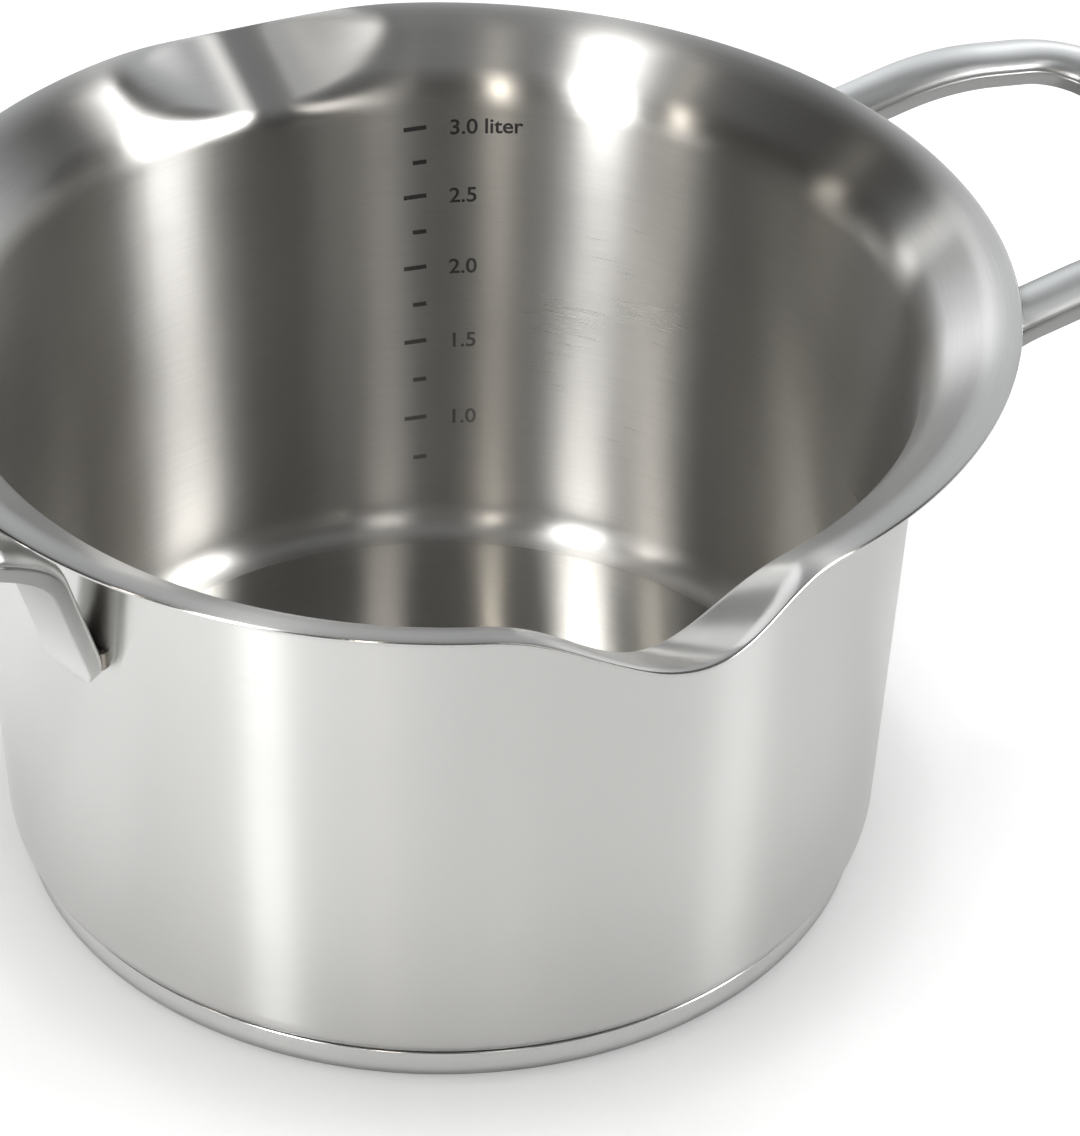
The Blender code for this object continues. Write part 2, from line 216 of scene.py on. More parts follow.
class BodySection:
    """Radial sections of the drawn body for a given strength of spout."""

    def __init__(self, sizes):
        self.sizes = sizes
        self.corner_top = sizes.underside + sizes.corner
        self.slope = (sizes.wall_high - sizes.wall_low) / (sizes.height - self.corner_top)
        self.tilt = math.atan(self.slope)
        self.centre = sizes.wall_low - sizes.corner

    def wall_radius(self, z):
        return self.sizes.wall_low + self.slope * (z - self.corner_top)

    def spout_weight(self, direction):
        sides = (math.pi / 2, -math.pi / 2)
        off = min(abs(math.remainder(direction - side, math.tau)) for side in sides)
        if off >= self.sizes.spout_half:
            return 0.0
        return (0.5 * (1.0 + math.cos(math.pi * off / self.sizes.spout_half))) ** self.sizes.spout_narrowing

    def flare(self, direction):
        """Inside line from the wall's end to the lip: (radius, height, slope from vertical)."""
        sizes = self.sizes
        weight = self.spout_weight(direction)
        end = math.pi / 2 - sizes.spout_ramp * weight
        lip_height = sizes.height - sizes.spout_drop * weight
        reach = sizes.rim + sizes.spout_pull * weight - 0.5 * sizes.sheet * (math.cos(end) + 1.0)
        depth = sizes.front_depth if math.sin(direction) < 0.0 else sizes.back_depth
        start = sizes.height - blend(sizes.flare_depth, depth, weight)
        bend = blend(sizes.flare, sizes.spout_crease, weight)
        brim = blend(sizes.brim, sizes.spout_brim, weight)
        inside = self.wall_radius(start) - sizes.sheet
        # Find the slope at which a straight run joins the two bends
        low, high = self.tilt, end
        for _ in range(SOLVE_ROUNDS):
            lean = (low + high) / 2
            across = reach - inside - bend * (math.cos(self.tilt) - math.cos(lean))
            across -= brim * (math.cos(lean) - math.cos(end))
            climb = lip_height - start - bend * (math.sin(lean) - math.sin(self.tilt))
            climb -= brim * (math.sin(end) - math.sin(lean))
            if math.atan2(across, climb) > lean:
                low = lean
            else:
                high = lean
        line = [(inside, start, self.tilt)]
        add_bend(line, bend, lean)
        run = math.hypot(across, climb) / RAMP_STEPS
        for _ in range(RAMP_STEPS):
            radius, height, _ = line[-1]
            line.append((radius + run * math.sin(lean), height + run * math.cos(lean), lean))
        add_bend(line, brim, end)
        return line

    def floor_and_corner(self, height, radius):
        """Flat floor and rounded corner, from near the axis outward."""
        points = [(self.centre * step / FLOOR_STEPS, height, 0.0) for step in range(1, FLOOR_STEPS)]
        for step in range(CORNER_STEPS + 1):
            turned = math.pi / 2 * step / CORNER_STEPS
            points.append((self.centre + radius * math.sin(turned),
                           self.corner_top - radius * math.cos(turned), 0.0))
        return points

    def rows(self, direction):
        """Whole section, and how many of its rows are on the inside.

        It runs from the inside floor over the lip to the underside, as (radius, height, flare share)."""
        sizes = self.sizes
        flare = self.flare(direction)
        shares = [step / (len(flare) - 1) for step in range(len(flare))]
        inner = self.floor_and_corner(sizes.underside + sizes.sheet, sizes.corner - sizes.sheet)
        inner += wall_rows(inner[-1], flare[0])
        inner += [(radius, height, share) for (radius, height, _), share in zip(flare, shares)]
        radius, height, slope = flare[-1]
        half = sizes.sheet / 2
        middle = (radius + half * math.cos(slope), height - half * math.sin(slope))
        lip = []
        for step in range(1, LIP_STEPS + 1):
            turned = math.pi * step / (LIP_STEPS + 1)
            out = half * math.sin(turned)
            across = -half * math.cos(turned)
            lip.append((middle[0] + out * math.sin(slope) + across * math.cos(slope),
                        middle[1] + out * math.cos(slope) - across * math.sin(slope), 1.0))
        outer = [(radius + sizes.sheet * math.cos(slope), height - sizes.sheet * math.sin(slope), share)
                 for (radius, height, slope), share in zip(flare[::-1], shares[::-1])]
        corner = self.floor_and_corner(sizes.underside, sizes.corner)[::-1]
        outer += wall_rows(corner[0], outer[-1])[::-1]
        return inner + lip + outer + corner, len(inner)


def body_directions(half):
    """Directions of the body's columns, closer together across the spouts."""
    directions = []
    for side in (-math.pi / 2, math.pi / 2):
        directions += [side - half + 2 * half * step / SPOUT_STEPS for step in range(SPOUT_STEPS)]
        plain = math.pi - 2 * half
        directions += [side + half + plain * step / RIM_STEPS for step in range(RIM_STEPS)]
    return directions


def placed(name, data):
    """New object with its data, in the scene."""
    obj = bpy.data.objects.new(name, data)
    bpy.context.scene.collection.objects.link(obj)
    return obj


def finish_mesh(name, bm, materials):
    """Turn a bmesh into a smooth-shaded object in the scene."""
    mesh = bpy.data.meshes.new(name)
    bm.to_mesh(mesh)
    bm.free()
    mesh.shade_smooth()
    for material in materials:
        mesh.materials.append(material)
    return placed(name, mesh)


def build_body(sizes, materials):
    """Drawn body: one column of points for each direction, joined to both floors' middles."""
    section = BodySection(sizes)
    bm = bmesh.new()
    flare_layer = bm.verts.layers.float.new("flare_share")
    columns = []
    for direction in body_directions(sizes.spout_half):
        rows, inner_count = section.rows(direction)
        column = []
        for radius, height, share in rows:
            vert = bm.verts.new((radius * math.cos(direction), radius * math.sin(direction), height))
            vert[flare_layer] = share
            column.append(vert)
        columns.append(column)
    top = bm.verts.new((0.0, 0.0, sizes.underside + sizes.sheet))
    under = bm.verts.new((0.0, 0.0, sizes.underside))
    for index, column in enumerate(columns):
        beside = columns[(index + 1) % len(columns)]
        bm.faces.new((top, column[0], beside[0])).material_index = FLOOR
        bm.faces.new((under, beside[-1], column[-1])).material_index = OUTSIDE
        for row in range(len(column) - 1):
            face = bm.faces.new((column[row], column[row + 1], beside[row + 1], beside[row]))
            face.material_index = INSIDE if row < inner_count else OUTSIDE
            if row < FLOOR_STEPS - 1:
                face.material_index = FLOOR
    bmesh.ops.recalc_face_normals(bm, faces=bm.faces)
    return finish_mesh("pot_body_surface", bm, materials)


# Shape of the base cap

def arc(centre, radius, start, end, steps):
    return [(centre[0] + radius * math.cos(blend(start, end, step / steps)),
             centre[1] + radius * math.sin(blend(start, end, step / steps))) for step in range(steps + 1)]


def build_cap(sizes, material):
    """Cap turned from its outline: underside, rounded edge, lip and inner face."""
    edge_centre = (sizes.radius - sizes.edge, sizes.edge)
    rounding = sizes.sheet / 2
    lip_centre = (sizes.radius - rounding, sizes.lip - rounding)
    outline = [(edge_centre[0] * step / FLOOR_STEPS, 0.0) for step in range(FLOOR_STEPS)]
    outline += arc(edge_centre, sizes.edge, -math.pi / 2, 0.0, CAP_CORNER_STEPS)
    outline += arc(lip_centre, rounding, 0.0, math.pi, EDGE_STEPS * 2)
    outline += arc(edge_centre, sizes.edge - sizes.sheet, 0.0, -math.pi / 2, CAP_CORNER_STEPS)
    outline += [(0.0, sizes.sheet)]
    bm = bmesh.new()
    verts = [bm.verts.new((radius, 0.0, height)) for radius, height in outline]
    edges = [bm.edges.new(pair) for pair in zip(verts, verts[1:])]
    bmesh.ops.spin(bm, geom=verts + edges, cent=(0, 0, 0), axis=(0, 0, 1), angle=math.tau,
                   steps=CAP_STEPS, use_merge=True, use_duplicate=False)
    bmesh.ops.remove_doubles(bm, verts=bm.verts, dist=MERGE_DISTANCE)
    bmesh.ops.dissolve_degenerate(bm, edges=bm.edges, dist=MERGE_DISTANCE)
    bmesh.ops.recalc_face_normals(bm, faces=bm.faces)
    return finish_mesh("base_cap_surface", bm, [material])


# Shape of the handles

def rounded_path(corners, radii, steps):
    """Straight runs joined by arcs: each point with the number of corners it has passed."""
    path = [(corners[0], 0.0)]
    for index in range(1, len(corners) - 1):
        here = corners[index]
        back = (corners[index - 1] - here).normalized()
        ahead = (corners[index + 1] - here).normalized()
        half = back.angle(ahead) / 2
        shorter = min((corners[index - 1] - here).length, (corners[index + 1] - here).length)
        reach = min(radii[index - 1] / math.tan(half), shorter * LARGEST_BEND_SHARE)
        radius = reach * math.tan(half)
        centre = here + (back + ahead).normalized() * (radius / math.sin(half))
        start = here + back * reach - centre
        end = here + ahead * reach - centre
        for step in range(steps[index - 1] + 1):
            share = step / steps[index - 1]
            path.append((centre + start.slerp(end, share).normalized() * radius, index - 1 + share))
    path.append((corners[-1], float(len(corners) - 2)))
    return path


class HandleShape:
    """Centre line and section of half of the +X handle."""

    def __init__(self, sizes, body):
        self.sizes = sizes
        self.section = BodySection(body)
        self.knee = body.rim - sizes.knee_inset
        self.knee_height = body.height - sizes.knee_depth
        self.foot_height = self.knee_height - sizes.foot_drop
        seat = sizes.foot_gap + sizes.foot_crown + sizes.flange
        self.foot = self.section.wall_radius(self.foot_height) + seat
        self.slope = (self.knee - self.foot) / sizes.foot_drop
        self.crest = Vector((body.rim + sizes.crest_reach, 0.0, body.height - sizes.crest_depth))
        self.grip = Vector((sizes.grip_reach - sizes.width / 2, 0.0, body.height - sizes.grip_depth))

    def path(self):
        sizes = self.sizes
        outward = Vector((math.cos(sizes.foot_azimuth), math.sin(sizes.foot_azimuth), 0.0))
        leg = Vector((0.0, self.knee * outward.y, 0.0))
        corners = [outward * self.foot + Vector((0.0, 0.0, self.foot_height)),
                   outward * self.knee + Vector((0.0, 0.0, self.knee_height)),
                   self.crest + leg, self.grip + leg, self.grip]
        path = rounded_path(corners, (sizes.knee_radius, sizes.crest_radius, sizes.loop_radius),
                            (BEND_STEPS, CREST_STEPS, LOOP_STEPS))
        run = path[1][0] - path[0][0]
        lengths = [sizes.foot_end * (1.0 - math.cos(math.pi / 2 * step / FOOT_END_STEPS))
                   for step in range(FOOT_END_STEPS + 1)]
        lengths.append((sizes.crown - sizes.foot_crown) / self.slope)
        lengths += [blend(lengths[-1], run.length, step / LEG_STEPS) for step in range(1, LEG_STEPS)]
        foot = [(path[0][0] + run.normalized() * distance, 0.0) for distance in lengths]
        fine = foot + [path[1]]
        for (start, passed), (end, passed_next) in zip(path[1:], path[2:]):
            if passed == math.floor(passed) and passed_next == passed:
                fine += [(start.lerp(end, step / LEG_STEPS), passed) for step in range(1, LEG_STEPS)]
            fine.append((end, passed_next))
        return fine

    def outline(self, along):
        """Bar section at a distance from the foot's end: (across, up) from the flat face's middle."""
        sizes = self.sizes
        cut = max(sizes.foot_end - along, 0.0)
        narrowed = 2 * (sizes.foot_end - math.sqrt(sizes.foot_end ** 2 - cut ** 2))
        half = (sizes.width - narrowed) / 2
        crown = min(sizes.crown, sizes.foot_crown + along * self.slope)
        edge = sizes.edge
        side = half - edge
        points = arc((side, edge), edge, -math.pi / 2, 0.0, EDGE_STEPS)
        points += arc((side, sizes.flange - edge), edge, 0.0, math.pi / 2, EDGE_STEPS)[:-1]
        for step in range(CROWN_STEPS + 1):
            turned = math.pi * step / CROWN_STEPS
            points.append((side * math.cos(turned), sizes.flange + crown * math.sin(turned)))
        points += arc((-side, sizes.flange - edge), edge, math.pi / 2, math.pi, EDGE_STEPS)[1:]
        points += arc((-side, edge), edge, math.pi, 1.5 * math.pi, EDGE_STEPS)
        return points

    def rings(self):
        """Rings of points along half a handle, each with its distance along the bar."""
        path = self.path()
        rings = []
        travelled = 0.0
        for index, (point, passed) in enumerate(path):
            if index:
                travelled += (point - path[index - 1][0]).length
            tangent = Vector((0.0, -1.0, 0.0))
            if index < len(path) - 1:
                tangent = (path[index + 1][0] - path[max(index - 1, 0)][0]).normalized()
            if passed < 1.0:
                facing = self.sizes.foot_azimuth * (1.0 - passed * passed * (3.0 - 2.0 * passed))
            else:
                facing = math.atan2(tangent.y, tangent.x)
            across = Vector((-math.sin(facing), math.cos(facing), 0.0))
            across = (across - tangent * across.dot(tangent)).normalized()
            up = tangent.cross(across).normalized()
            ring = [point + across * a + up * b for a, b in self.outline(travelled)]
            rings.append((ring, travelled))
        return rings


# Distance along the bar at which it is fully rounded, and the painted-shade mask's value on its sides at the
# flat foot, where less shade is painted
ROUND_FROM = 0.03
FOOT_SIDE_UNSHADED = 0.7
# How fast the crown's full colour gives way to painted shade toward the outer and the inner side of the
# crown
OUTER_FADE = 2.2
INNER_FADE = 3


def build_handle(name, side, shape, material):
    """Loop handle with its lengthwise and crosswise distances as UVs in metres."""
    half = shape.rings()
    total = half[-1][1]
    mirrored = [([Vector((p.x, -p.y, p.z)) for p in ring], 2 * total - distance)
                for ring, distance in half[:-1]]
    bm = bmesh.new()
    uv = bm.loops.layers.uv.new("bar")
    # The crowned layer is a painted-shade mask: 1 keeps the full colour on the crown, lower values paint the
    # sides and inner face darker
    crowned = bm.verts.layers.float.new("crowned")
    rings = []
    for ring, distance in half + mirrored[::-1]:
        verts = [bm.verts.new((p.x * side, p.y * side, p.z)) for p in ring]
        roundness = min(min(distance, 2 * total - distance) / ROUND_FROM, 1.0)
        for index, vert in enumerate(verts):
            step = index - 2 * EDGE_STEPS - 1
            vert[crowned] = FOOT_SIDE_UNSHADED * (1.0 - roundness)
            if 0 <= step <= CROWN_STEPS:
                height = math.sin(math.pi * step / CROWN_STEPS)
                bright = height ** INNER_FADE
                if step < CROWN_STEPS / 2:
                    bright = min(OUTER_FADE * height, 1.0)
                vert[crowned] = blend(1.0, bright, roundness)
        rings.append((verts, distance))
    around = [0.0]
    widest = half[len(half) // 2][0]
    for first, second in zip(widest, widest[1:] + widest[:1]):
        around.append(around[-1] + (second - first).length)
    for (first, start), (second, end) in zip(rings, rings[1:]):
        for index in range(len(first)):
            beside = (index + 1) % len(first)
            face = bm.faces.new((first[index], first[beside], second[beside], second[index]))
            places = ((start, around[index]), (start, around[index + 1]),
                      (end, around[index + 1]), (end, around[index]))
            for loop, place in zip(face.loops, places):
                loop[uv].uv = place
    bm.faces.new(rings[0][0][::-1])
    bm.faces.new(rings[-1][0])
    bmesh.ops.recalc_face_normals(bm, faces=bm.faces)
    obj = finish_mesh(name, bm, [material])
    obj.data.set_sharp_from_angle(angle=math.radians(50.0))
    return obj


# Node helpers

def fill(tree, target, inputs):
    """Join or set a node's inputs, given by name or number."""
    for name, value in inputs.items():
        if isinstance(value, bpy.types.NodeSocket):
            tree.links.new(value, target.inputs[name])
        else:
            target.inputs[name].default_value = value


def node(tree, kind, place, inputs=None, **settings):
    """New node with its settings, and then its inputs."""
    made = tree.nodes.new(kind)
    made.location = place
    for name, value in settings.items():
        setattr(made, name, value)
    fill(tree, made, inputs or {})
    return made


def math_node(tree, operation, place, *values):
    return node(tree, "ShaderNodeMath", place, dict(enumerate(values)), operation=operation).outputs[0]


def scale_node(tree, place, vector, scale):
    inputs = {0: vector, "Scale": scale}
    return node(tree, "ShaderNodeVectorMath", place, inputs, operation="SCALE").outputs[0]


def vector_node(tree, place, *parts):
    return node(tree, "ShaderNodeCombineXYZ", place, dict(enumerate(parts))).outputs[0]


def parts_node(tree, place, vector):
    return node(tree, "ShaderNodeSeparateXYZ", place, {0: vector}).outputs


def range_node(tree, place, value, span, results=(0.0, 1.0)):
    """Carry a value from one span to another, and no further."""
    inputs = dict(zip(("Value", "From Min", "From Max", "To Min", "To Max"), (value, *span, *results)))
    return node(tree, "ShaderNodeMapRange", place, inputs).outputs["Result"]


def mix_node(tree, place, factor, first, second, kind="RGBA"):
    inputs = {"Factor": factor, "A": first, "B": second}
    return node(tree, "ShaderNodeMix", place, inputs, data_type=kind).outputs["Result"]


def noise_node(tree, place, vector, scale, **more):
    inputs = {"Vector": vector, "Scale": scale, **more}
    return node(tree, "ShaderNodeTexNoise", place, inputs).outputs["Fac"]


def attribute_node(tree, place, name):
    return node(tree, "ShaderNodeAttribute", place, attribute_name=name).outputs["Fac"]


def coordinates_node(tree, place, name="Object"):
    return node(tree, "ShaderNodeTexCoord", place).outputs[name]


def solid(tint, share=1.0):
    """Opaque colour, made darker or lighter by a share."""
    return (*[channel * share for channel in tint], 1.0)


def ramp_node(tree, place, stops, value):
    """Colour that follows a value through stops of (value, colour)."""
    ramp = node(tree, "ShaderNodeValToRGB", place, {"Fac": value})
    elements = ramp.color_ramp.elements
    while len(elements) < len(stops):
        elements.new(0.5)
    for element, (position, tint) in zip(elements, stops):
        element.position = position
        element.color = solid(tint)
    return ramp.outputs["Color"]


# Brushing, as groups that several materials share

# Least distance from the axis, since the distance divides
AXIS_GAP = 0.0001


def turned_place(group, get):
    """Place for lines round the pot's axis, on walls and floors alike."""
    work = partial(math_node, group)
    x, y, z = parts_node(group, (-1000, 300), coordinates_node(group, (-1200, 300)))
    x_square = work("MULTIPLY", (-800, 420), x, x)
    y_square = work("MULTIPLY", (-800, 280), y, y)
    root = work("SQRT", (-480, 360), work("ADD", (-640, 360), x_square, y_square))
    radius = work("MAXIMUM", (-340, 360), root, AXIS_GAP)
    around = [work("MULTIPLY", (0, row), work("DIVIDE", (-180, row), part, radius), get["Streaks Around"])
              for part, row in ((x, 460), (y, 320))]
    travel = work("MULTIPLY", (0, 180), work("ADD", (-180, 180), radius, z), get["Lines per Metre"])
    return vector_node(group, (160, 320), *around, travel)


def lengthwise_place(group, get):
    """Place for lines along a bar, from its UVs in metres."""
    bar = node(group, "ShaderNodeUVMap", (-1000, 300), uv_map="bar").outputs["UV"]
    along, across, _ = parts_node(group, (-800, 300), bar)
    return vector_node(group, (-300, 300),
                       math_node(group, "MULTIPLY", (-560, 380), along, get["Streaks per Metre"]),
                       math_node(group, "MULTIPLY", (-560, 220), across, get["Lines per Metre"]))


# Name of the group, its inputs and where its lines lie
TURNED = (
    "Turned Brushing", {"Lines per Metre": 1500.0, "Streaks Around": 7.0, "Patch Scale": 30.0}, turned_place)
LENGTHWISE = (
    "Lengthwise Brushing", {"Lines per Metre": 2200.0, "Streaks per Metre": 60.0, "Patch Scale": 45.0},
    lengthwise_place)


def brushing_group(name, values, line_place):
    """Group for fine lines and soft cloudy patches, made once for each name."""
    if name in bpy.data.node_groups:
        return bpy.data.node_groups[name]
    group = bpy.data.node_groups.new(name, "ShaderNodeTree")
    for title, default in values.items():
        socket = group.interface.new_socket(title, in_out="INPUT", socket_type="NodeSocketFloat")
        socket.default_value = default
    for title in ("Lines", "Patches"):
        group.interface.new_socket(title, in_out="OUTPUT", socket_type="NodeSocketFloat")
    get = node(group, "NodeGroupInput", (-1200, 0)).outputs
    around = coordinates_node(group, (160, -60))
    node(group, "NodeGroupOutput", (900, 0), {
        "Lines": noise_node(group, (340, 320), line_place(group, get), 1.0, Detail=3.0, Roughness=0.6),
        "Patches": noise_node(group, (340, -60), around, get["Patch Scale"])})
    return group


# Materials

# Span of the brushing's tone over which colour changes, and of any tone or noise over which roughness does
COLOUR_SPAN = (0.35, 0.65)
NOISE_SPAN = (0.3, 0.7)
# Share of the flare over which the wall's roughness gives way to the flare's own
FLARE_SPAN = (0.0, 0.6)
FLARE_ROUGHNESS = 0.28
# Share of a turn that draws reflections out across the turned lines
UPRIGHT = 0.25
# How much of the etching is left at the lowest and at the highest mark
MARK_STRENGTH = (0.46, 0.98)
# Fineness of the etching's mottle and of the weld's heat patches, and the patches' relief
MOTTLE_SCALE = 1800.0
HEAT_SCALE = 600.0
HEAT_RELIEF = 0.0001

# Shade of the darker lines, roughness, anisotropy, relief, lines per metre, streaks and patch scale
Brushed = namedtuple("Brushed", "darker roughness anisotropy relief lines streaks patches")
FINISHES = {
    "inside_steel": Brushed(0.90, (0.27, 0.32), 1.0, 0.000010, 2600.0, 6.0, 24.0),
    "outside_steel": Brushed(0.96, (0.20, 0.23), 1.0, 0.000008, 2600.0, 5.0, 14.0),
    "inside_floor_steel": Brushed(0.90, (0.20, 0.25), 0.5, 0.000008, 1500.0, 4.0, 30.0),
    "cap_steel_turned": Brushed(0.93, (0.18, 0.26), 0.6, 0.000006, 1100.0, 4.0, 20.0),
    "core_aluminium_rolled": Brushed(0.90, (0.38, 0.48), 0.2, 0.000010, 900.0, 3.0, 40.0),
    "handle_steel_satin": Brushed(0.95, (0.33, 0.39), 0.3, 0.000002, 2200.0, 60.0, 45.0),
}


def shaded(name):
    """New material, its tree and its Principled shader."""
    material = bpy.data.materials.new(name)
    material.use_nodes = True
    return material, material.node_tree, material.node_tree.nodes["Principled BSDF"]


def steel(name, tint, turned=True, eased_flare=False):
    """Brushed or polished metal: colour, roughness and relief follow the brushing lines and patches."""
    finish = FINISHES[name]
    material, tree, shader = shaded(name)
    group = brushing_group(*(TURNED if turned else LENGTHWISE))
    brushing = node(tree, "ShaderNodeGroup", (-900, 0), node_tree=group)
    fill(tree, brushing, {0: finish.lines, 1: finish.streaks, 2: finish.patches})
    lines, patches = brushing.outputs
    tone = math_node(tree, "ADD", (-620, 200), math_node(tree, "MULTIPLY", (-760, 260), lines, 0.5),
                     math_node(tree, "MULTIPLY", (-760, 120), patches, 0.5))
    colour_share = range_node(tree, (-480, 200), tone, COLOUR_SPAN)
    rough = range_node(tree, (-480, -80), tone, NOISE_SPAN, finish.roughness)
    if eased_flare:
        share = attribute_node(tree, (-760, -260), "flare_share")
        ease = range_node(tree, (-480, -300), share, FLARE_SPAN)
        rough = mix_node(tree, (-200, -120), ease, rough, FLARE_ROUGHNESS, "FLOAT")
    bump = node(tree, "ShaderNodeBump", (-200, -420), {
        "Strength": 1.0, "Distance": finish.relief, "Height": lines})
    fill(tree, shader, {
        "Base Color": mix_node(tree, (-300, 260), colour_share, solid(tint, finish.darker), solid(tint)),
        "Metallic": 1.0, "Roughness": rough, "Anisotropic": finish.anisotropy,
        "Normal": bump.outputs["Normal"]})
    if turned:
        tangent = node(tree, "ShaderNodeTangent", (-200, -640), direction_type="RADIAL", axis="Z")
        fill(tree, shader, {"Anisotropic Rotation": UPRIGHT, "Tangent": tangent.outputs["Tangent"]})
    return material


def paint_side_shade(material, share):
    """Painted shade: the bar's sides and inner face are drawn darker than its crowned face, which keeps its
    satin colour.
    """
    tree = material.node_tree
    shader = tree.nodes["Principled BSDF"]
    satin = shader.inputs["Base Color"].links[0].from_socket
    crowned = attribute_node(tree, (-480, 620), "crowned")
    kept = range_node(tree, (-300, 620), crowned, (0.0, 1.0), (share, 1.0))
    fill(tree, shader, {"Base Color": scale_node(tree, (-80, 420), satin, kept)})


def mark_material(tint, low, high):
    """Etched marks: dark oxide that wears lighter lower down, with a fine mottle."""
    material, tree, shader = shaded("etched_marks")
    coordinates = coordinates_node(tree, (-1000, 0))
    mottle = noise_node(tree, (-800, -120), coordinates, MOTTLE_SCALE)
    height = parts_node(tree, (-800, 120), coordinates)["Z"]
    kept = range_node(tree, (-560, 120), height, (low, high), MARK_STRENGTH)
    speck = range_node(tree, (-560, -120), mottle, NOISE_SPAN, (0.88, 1.0))
    fill(tree, shader, {
        "Base Color": mix_node(tree, (-340, 240), mottle, solid(tint), solid(tint, 2.0)),
        "Alpha": math_node(tree, "MULTIPLY", (-340, 0), kept, speck),
        "Roughness": range_node(tree, (-340, -240), mottle, NOISE_SPAN, (0.42, 0.6)),
        "Metallic": 0.3})
    return material


def weld_material(tint):
    """Heat-tinted weld: darker patches over dull steel."""
    material, tree, shader = shaded("weld_steel")
    heat = noise_node(tree, (-700, 0), coordinates_node(tree, (-900, 0)), HEAT_SCALE)
    bump = node(tree, "ShaderNodeBump", (-260, -360), {"Distance": HEAT_RELIEF, "Height": heat})
    fill(tree, shader, {
        "Base Color": ramp_node(tree, (-480, 100), ((0.0, solid(tint, 0.6)[:3]), (1.0, tint)), heat),
        "Roughness": range_node(tree, (-480, -160), heat, NOISE_SPAN, (0.35, 0.55)),
        "Metallic": 1.0, "Normal": bump.outputs["Normal"]})
    return material


# Geometry node trees

def new_geometry_tree(name, counts, sizes):
    """Geometry node tree and its inputs: a geometry, named counts and sizes, and a material."""
    tree = bpy.data.node_groups.new(name, "GeometryNodeTree")
    sockets = [("Geometry", "Geometry"), *[(title, "Int") for title in counts],
               *[(title, "Float") for title in sizes], ("Material", "Material")]
    for title, kind in sockets:
        tree.interface.new_socket(title, in_out="INPUT", socket_type="NodeSocket" + kind)
    tree.interface.new_socket("Geometry", in_out="OUTPUT", socket_type="NodeSocketGeometry")
    return tree, node(tree, "NodeGroupInput", (-1400, 0)).outputs


def end_tree(tree, geometry, material):
    """End a tree with its instances made real and its material set."""
    real = node(tree, "GeometryNodeRealizeInstances", (1120, 300), {"Geometry": geometry})
    coloured = node(tree, "GeometryNodeSetMaterial", (1260, 300), {
        "Geometry": real.outputs["Geometry"], "Material": material})
    node(tree, "NodeGroupOutput", (1420, 300), {"Geometry": coloured.outputs["Geometry"]})


def plain_mesh(name, holder):
    """What an object shows, as a mesh of its own."""
    holder.update_tag()
    bpy.context.view_layer.update()
    mesh = bpy.data.meshes.new_from_object(holder.evaluated_get(bpy.context.evaluated_depsgraph_get()))
    mesh.name = name
    return mesh


def bake_geometry(name, start_mesh, tree, values):
    """Run a geometry node tree on a start mesh and keep the result as a plain mesh object."""
    holder = placed(name + "_source", start_mesh)
    modifier = holder.modifiers.new("Shape", "NODES")
    modifier.node_group = tree
    for item in tree.interface.items_tree:
        if item.item_type == "SOCKET" and item.in_out == "INPUT" and item.name in values:
            modifier[item.identifier] = values[item.name]
    mesh = plain_mesh(name, holder)
    holder.modifiers.remove(modifier)
    bpy.data.objects.remove(holder, do_unlink=True)
    return placed(name, mesh)


def volume_marks_tree():
    """Flat marks instanced up the wall at heights that follow the volume, each facing the pot's axis."""
    tree, get = new_geometry_tree("Volume Marks", ("Count",), (
        "Lowest Volume", "Volume Step", "Height at Zero", "Rise per Litre", "Rise Lost", "Long Width",
        "Short Width", "Thickness", "Azimuth", "Tilt", "Wall Radius at Zero", "Wall Slope", "Wall Tilt"))
    work = partial(math_node, tree)
    index = node(tree, "GeometryNodeInputIndex", (-1400, -300)).outputs[0]
    volume = work("ADD", (-1000, -60), get["Lowest Volume"],
                  work("MULTIPLY", (-1180, -160), index, get["Volume Step"]))
    rise = work("MULTIPLY", (-820, -60), volume, get["Rise per Litre"])
    lost = work("MULTIPLY", (-820, -220), work("MULTIPLY", (-1000, -220), volume, volume), get["Rise Lost"])
    height = work("SUBTRACT", (-480, -120), work("ADD", (-640, -60), rise, get["Height at Zero"]), lost)
    width = mix_node(tree, (-820, -420), work("MODULO", (-1180, -420), index, 2.0),
                     get["Short Width"], get["Long Width"], "FLOAT")
    radius = work("ADD", (-160, -260), work("MULTIPLY", (-320, -260), height, get["Wall Slope"]),
                  get["Wall Radius at Zero"])
    half_turn = work("DIVIDE", (0, -420), work("MULTIPLY", (-160, -420), width, 0.5), radius)
    turned = work("ADD", (160, -420), get["Azimuth"], half_turn)
    across = work("MULTIPLY", (480, -100), radius, work("COSINE", (320, -100), turned))
    along = work("MULTIPLY", (480, -260), radius, work("SINE", (320, -260), turned))
    place = vector_node(tree, (640, -160), across, along, height)
    facing = vector_node(tree, (640, -480), work("SUBTRACT", (480, -420), math.pi / 2, get["Wall Tilt"]),
                         work("MULTIPLY", (480, -560), get["Tilt"], -1.0),
                         work("SUBTRACT", (480, -700), turned, math.pi / 2))
    points = node(tree, "GeometryNodeMeshLine", (-1100, 300), {"Count": get["Count"]})
    moved = node(tree, "GeometryNodeSetPosition", (800, 300), {
        "Geometry": points.outputs["Mesh"], "Position": place})
    mark = node(tree, "GeometryNodeMeshGrid", (640, 560), {
        "Size X": 1.0, "Size Y": 1.0, "Vertices X": 2, "Vertices Y": 2})
    copies = node(tree, "GeometryNodeInstanceOnPoints", (980, 420), {
        "Points": moved.outputs["Geometry"], "Instance": mark.outputs["Mesh"], "Rotation": facing,
        "Scale": vector_node(tree, (640, -820), width, get["Thickness"], 1.0)})
    end_tree(tree, copies.outputs["Instances"], get["Material"])
    return tree


# Sides of a weld bead's section, and fineness of the ripples along it
BEAD_SIDES = 12
RIPPLE_SCALE = 900.0


